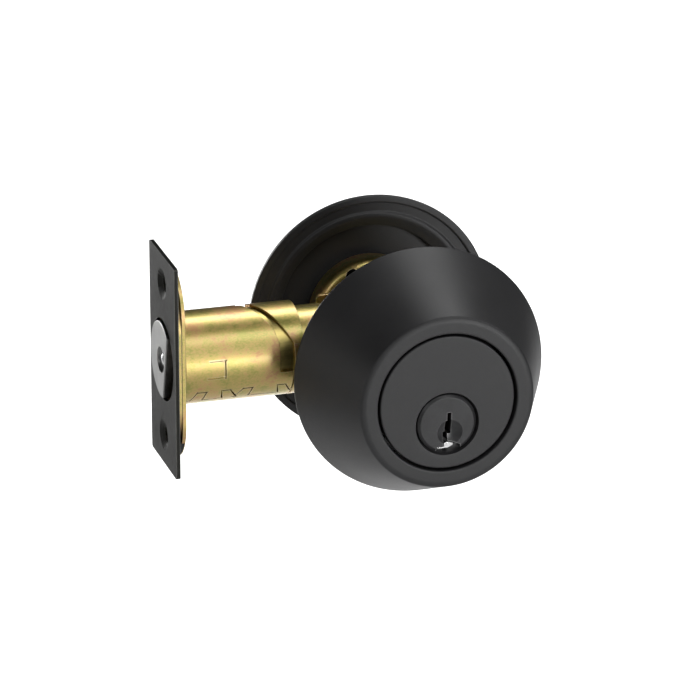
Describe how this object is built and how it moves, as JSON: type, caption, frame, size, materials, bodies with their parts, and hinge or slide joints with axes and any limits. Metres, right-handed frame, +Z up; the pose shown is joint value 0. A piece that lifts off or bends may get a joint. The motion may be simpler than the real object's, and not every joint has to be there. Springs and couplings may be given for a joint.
{
  "type": "deadbolt door lock",
  "caption": "Tubular deadbolt: conical exterior collar with keyed cylinder, adjustable latch with faceplate and round bolt, interior rose with thumbturn.",
  "frame": {"origin": "centre of the door's 54 mm cross bore, halfway through the door", "axes": "+Z up, -Y towards the exterior (key) side, +Y towards the interior, -X towards the bolt and the door's edge"},
  "size_m": [0.0958, 0.0969, 0.0664],
  "materials": {
    "black_trim": "matte black powder coat",
    "black_plug": "satin black",
    "faceplate_finish": "satin dark grey",
    "yellow_zinc": "yellow zinc plate over stamped steel",
    "bolt_steel": "brushed nickel plate",
    "hardened_steel": "bright steel",
    "brass": "turned brass",
    "bush_nylon": "black nylon"
  },
  "bodies": {
    "root": {"exterior_collar": "black_trim", "collar_guard_ring": "hardened_steel", "cylinder_housing": "black_trim", "pin_chamber_cover": "brass", "driver_pin_1": "hardened_steel", "driver_pin_2": "hardened_steel", "driver_pin_3": "hardened_steel", "driver_pin_4": "hardened_steel", "driver_pin_5": "hardened_steel", "pin_spring_1": "hardened_steel", "pin_spring_2": "hardened_steel", "pin_spring_3": "hardened_steel", "pin_spring_4": "hardened_steel", "pin_spring_5": "hardened_steel", "rear_sleeve": "yellow_zinc", "latch_case_exterior": "yellow_zinc", "latch_case_interior": "yellow_zinc", "case_rivet_1": "bolt_steel", "case_rivet_2": "bolt_steel", "case_rivet_3": "bolt_steel", "detent_spring": "hardened_steel", "mounting_plate": "yellow_zinc", "interior_rose": "black_trim", "mounting_screw_1": "black_trim", "mounting_screw_2": "black_trim"},
    "thumbturn_assembly": {"thumbturn": "black_trim", "thumbturn_spindle": "bolt_steel", "spindle_washer": "bush_nylon", "spindle_clip": "hardened_steel"},
    "plug": {"key_plug": "black_plug", "plug_retainer_clip": "hardened_steel", "tailpiece": "bolt_steel", "key_pin_1": "brass", "key_pin_2": "brass", "key_pin_3": "brass", "key_pin_4": "brass", "key_pin_5": "brass"},
    "crank": {"bolt_crank": "yellow_zinc", "crank_pin": "hardened_steel"},
    "tail": {"bolt_tail": "yellow_zinc"},
    "backset_sleeve": {"backset_sleeve": "yellow_zinc"},
    "latch_front": {"faceplate": "faceplate_finish", "faceplate_liner": "yellow_zinc", "backing_plate": "yellow_zinc", "face_filler": "bush_nylon", "front_sleeve": "yellow_zinc", "bolt_guide_bush": "bush_nylon"},
    "bolt": {"deadbolt": "bolt_steel"},
    "roller": {"anti_saw_roller": "hardened_steel"}
  },
  "joints": [
    {"name": "thumbturn_turn", "type": "hinge", "parent": "root", "child": "thumbturn_assembly", "pos_m": [0, 0.03, -0.0058], "axis": [0, -1, 0], "range_deg": [0, 90]},
    {"name": "plug_turn", "type": "hinge", "parent": "root", "child": "plug", "pos_m": [0, -0.03, -0.0058], "axis": [0, -1, 0], "range_deg": [0, 90]},
    {"name": "crank_turn", "type": "hinge", "parent": "root", "child": "crank", "pos_m": [0, 0, -0.0058], "axis": [0, -1, 0], "range_deg": [0, 90]},
    {"name": "tail_slide", "type": "slide", "parent": "root", "child": "tail", "axis": [-1, 0, 0], "range_m": [0, 0.0254]},
    {"name": "backset_slide", "type": "slide", "parent": "backset_sleeve", "child": "latch_front", "axis": [-1, 0, 0], "range_m": [0, 0.00953]},
    {"name": "backset_twist", "type": "hinge", "parent": "root", "child": "backset_sleeve", "pos_m": [-0.04, 0, 0.0016], "axis": [1, 0, 0], "range_deg": [0, 180]},
    {"name": "bolt_slide", "type": "slide", "parent": "latch_front", "child": "bolt", "axis": [-1, 0, 0], "range_m": [0, 0.0254]},
    {"name": "roller_spin", "type": "hinge", "parent": "bolt", "child": "roller", "pos_m": [-0.055, 0, 0.0016], "axis": [1, 0, 0], "continuous": true}
  ],
  "couplings": [
    {"joint": "plug_turn", "follows": "thumbturn_turn", "ratio": 1},
    {"joint": "crank_turn", "follows": "thumbturn_turn", "ratio": 1},
    {"joint": "tail_slide", "follows": "thumbturn_turn", "m_per_rad": 0.01617},
    {"joint": "bolt_slide", "follows": "thumbturn_turn", "m_per_rad": 0.01617},
    {"joint": "backset_twist", "follows": "backset_slide", "rad_per_m": 329.83}
  ]
}
